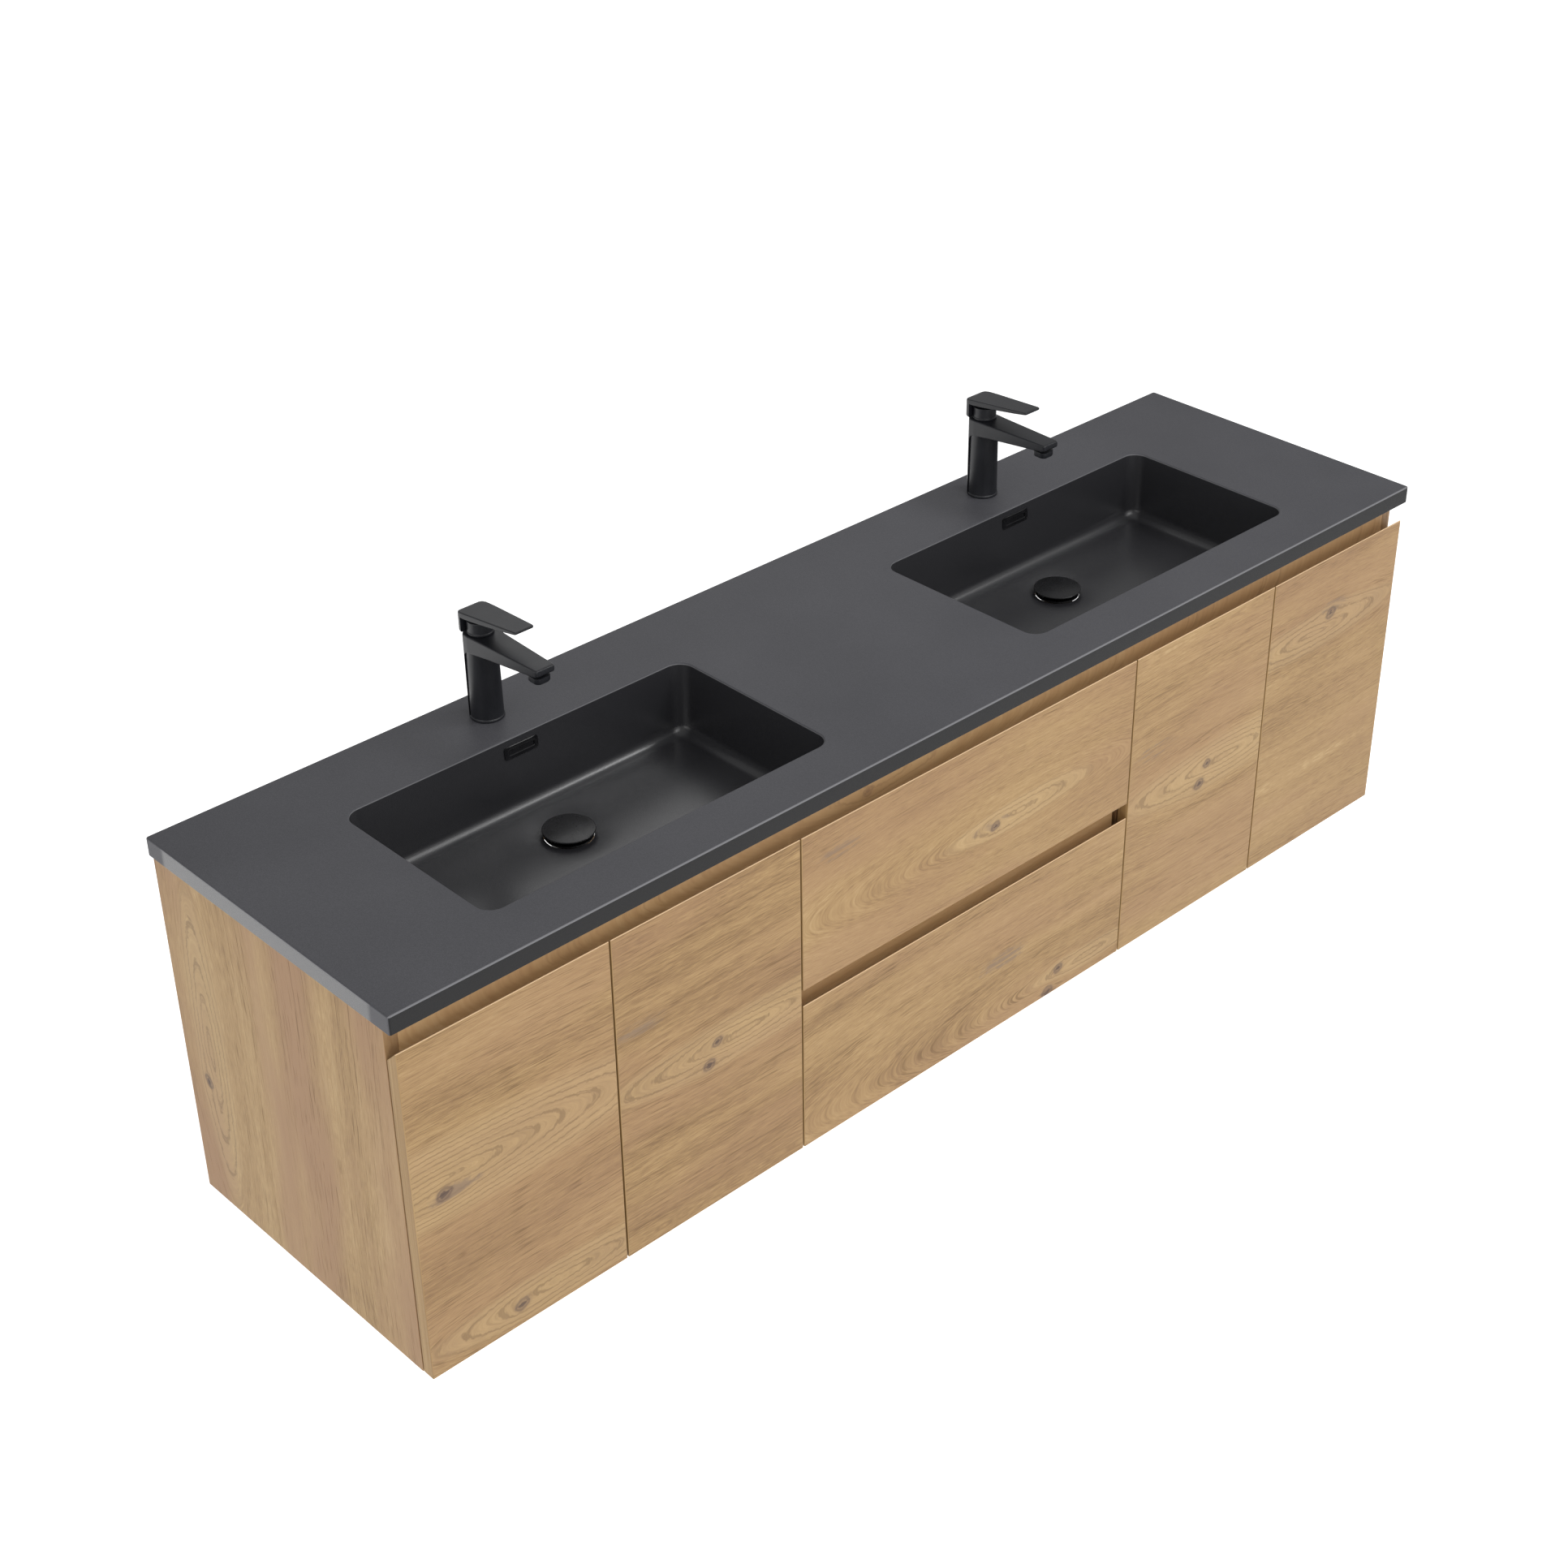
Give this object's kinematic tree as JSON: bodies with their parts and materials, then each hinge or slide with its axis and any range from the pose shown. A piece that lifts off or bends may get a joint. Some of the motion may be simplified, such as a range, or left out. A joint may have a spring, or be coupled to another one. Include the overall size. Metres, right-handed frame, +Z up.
{
  "type": "wall-hung bathroom vanity cabinet",
  "caption": "Wide wall-hung vanity: a composite countertop with moulded basins over an oak cabinet with hinged doors, drawers, lever taps and push-to-close wastes.",
  "frame": {"origin": "centre of the hanging rail's rear face, on the wall plane", "axes": "+X along the wall to the right as seen from the room, +Y into the wall, +Z up"},
  "size_m": [1.8, 0.475, 0.6853],
  "materials": {
    "oak": "knotty light oak decor, matt, horizontal grain on fronts and rails, vertical on ends",
    "composite": "matt charcoal mineral composite",
    "black_coating": "matt black coating",
    "gloss_black": "satin to gloss black",
    "steel": "nickel-plated",
    "drawer_metal": "grey powder coat",
    "drawer_board": "light grey faced chipboard"
  },
  "bodies": {
    "carcass": {"basin_left": "composite", "basin_right": "composite", "bottom_panel": "oak", "hanging_rail": "oak", "hinge_arm_left_inner_lower": "steel", "hinge_arm_left_inner_upper": "steel", "hinge_arm_left_outer_lower": "steel", "hinge_arm_left_outer_upper": "steel", "hinge_arm_right_inner_lower": "steel", "hinge_arm_right_inner_upper": "steel", "hinge_arm_right_outer_lower": "steel", "hinge_arm_right_outer_upper": "steel", "mid_rail": "oak", "overflow_cover_left": "gloss_black", "overflow_cover_right": "gloss_black", "partition_left": "oak", "partition_right": "oak", "runner_lower_left": "steel", "runner_lower_right": "steel", "runner_upper_left": "steel", "runner_upper_right": "steel", "side_panel_left": "oak", "side_panel_right": "oak", "tap_aerator_left": "black_coating", "tap_aerator_right": "black_coating", "tap_body_left": "black_coating", "tap_body_right": "black_coating", "top_rail": "oak", "vanity_top_left": "composite", "vanity_top_right": "composite", "waste_body_left": "gloss_black", "waste_body_right": "gloss_black"},
    "door_left_inner": {"door_left_inner": "oak", "hinge_cup_left_inner_lower": "steel", "hinge_cup_left_inner_upper": "steel"},
    "door_left_outer": {"door_left_outer": "oak", "hinge_cup_left_outer_lower": "steel", "hinge_cup_left_outer_upper": "steel"},
    "door_right_inner": {"door_right_inner": "oak", "hinge_cup_right_inner_lower": "steel", "hinge_cup_right_inner_upper": "steel"},
    "door_right_outer": {"door_right_outer": "oak", "hinge_cup_right_outer_lower": "steel", "hinge_cup_right_outer_upper": "steel"},
    "lower_drawer": {"lower_drawer_back": "drawer_board", "lower_drawer_bottom": "drawer_board", "lower_drawer_front": "oak", "lower_drawer_side_left": "drawer_metal", "lower_drawer_side_right": "drawer_metal"},
    "tap_swivel_left": {"tap_cartridge_left": "black_coating"},
    "tap_swivel_right": {"tap_cartridge_right": "black_coating"},
    "tap_lever_left": {"tap_lever_left": "black_coating"},
    "tap_lever_right": {"tap_lever_right": "black_coating"},
    "upper_drawer": {"upper_drawer_back": "drawer_board", "upper_drawer_bottom": "drawer_board", "upper_drawer_front": "oak", "upper_drawer_side_left": "drawer_metal", "upper_drawer_side_right": "drawer_metal"},
    "waste_cap_left": {"waste_cap_left": "gloss_black"},
    "waste_cap_right": {"waste_cap_right": "gloss_black"}
  },
  "joints": [
    {"name": "door_left_outer_hinge", "type": "hinge", "parent": "carcass", "child": "door_left_outer", "pos_m": [-0.8865, -0.4725, -0.18], "axis": [0, 0, -1], "range_deg": [0, 105]},
    {"name": "door_left_inner_hinge", "type": "hinge", "parent": "carcass", "child": "door_left_inner", "pos_m": [-0.316, -0.4725, -0.18], "axis": [0, 0, 1], "range_deg": [0, 90]},
    {"name": "door_right_inner_hinge", "type": "hinge", "parent": "carcass", "child": "door_right_inner", "pos_m": [0.316, -0.4725, -0.18], "axis": [0, 0, -1], "range_deg": [0, 90]},
    {"name": "door_right_outer_hinge", "type": "hinge", "parent": "carcass", "child": "door_right_outer", "pos_m": [0.8865, -0.4725, -0.18], "axis": [0, 0, 1], "range_deg": [0, 105]},
    {"name": "upper_drawer_slide", "type": "slide", "parent": "carcass", "child": "upper_drawer", "axis": [0, -1, 0], "range_m": [0, 0.35]},
    {"name": "lower_drawer_slide", "type": "slide", "parent": "carcass", "child": "lower_drawer", "axis": [0, -1, 0], "range_m": [0, 0.35]},
    {"name": "tap_swivel_left_turn", "type": "hinge", "parent": "carcass", "child": "tap_swivel_left", "pos_m": [-0.448, -0.058, 0.2103], "axis": [0, 0, 1], "range_deg": [-45, 45]},
    {"name": "tap_lever_left_lift", "type": "hinge", "parent": "tap_swivel_left", "child": "tap_lever_left", "pos_m": [-0.448, -0.0385, 0.2053], "axis": [-1, 0, 0], "range_deg": [0, 20]},
    {"name": "waste_cap_left_push", "type": "slide", "parent": "carcass", "child": "waste_cap_left", "axis": [0, 0, 1], "range_m": [-0.0045, 0]},
    {"name": "tap_swivel_right_turn", "type": "hinge", "parent": "carcass", "child": "tap_swivel_right", "pos_m": [0.448, -0.058, 0.2103], "axis": [0, 0, 1], "range_deg": [-45, 45]},
    {"name": "tap_lever_right_lift", "type": "hinge", "parent": "tap_swivel_right", "child": "tap_lever_right", "pos_m": [0.448, -0.0385, 0.2053], "axis": [-1, 0, 0], "range_deg": [0, 20]},
    {"name": "waste_cap_right_push", "type": "slide", "parent": "carcass", "child": "waste_cap_right", "axis": [0, 0, 1], "range_m": [-0.0045, 0]}
  ]
}
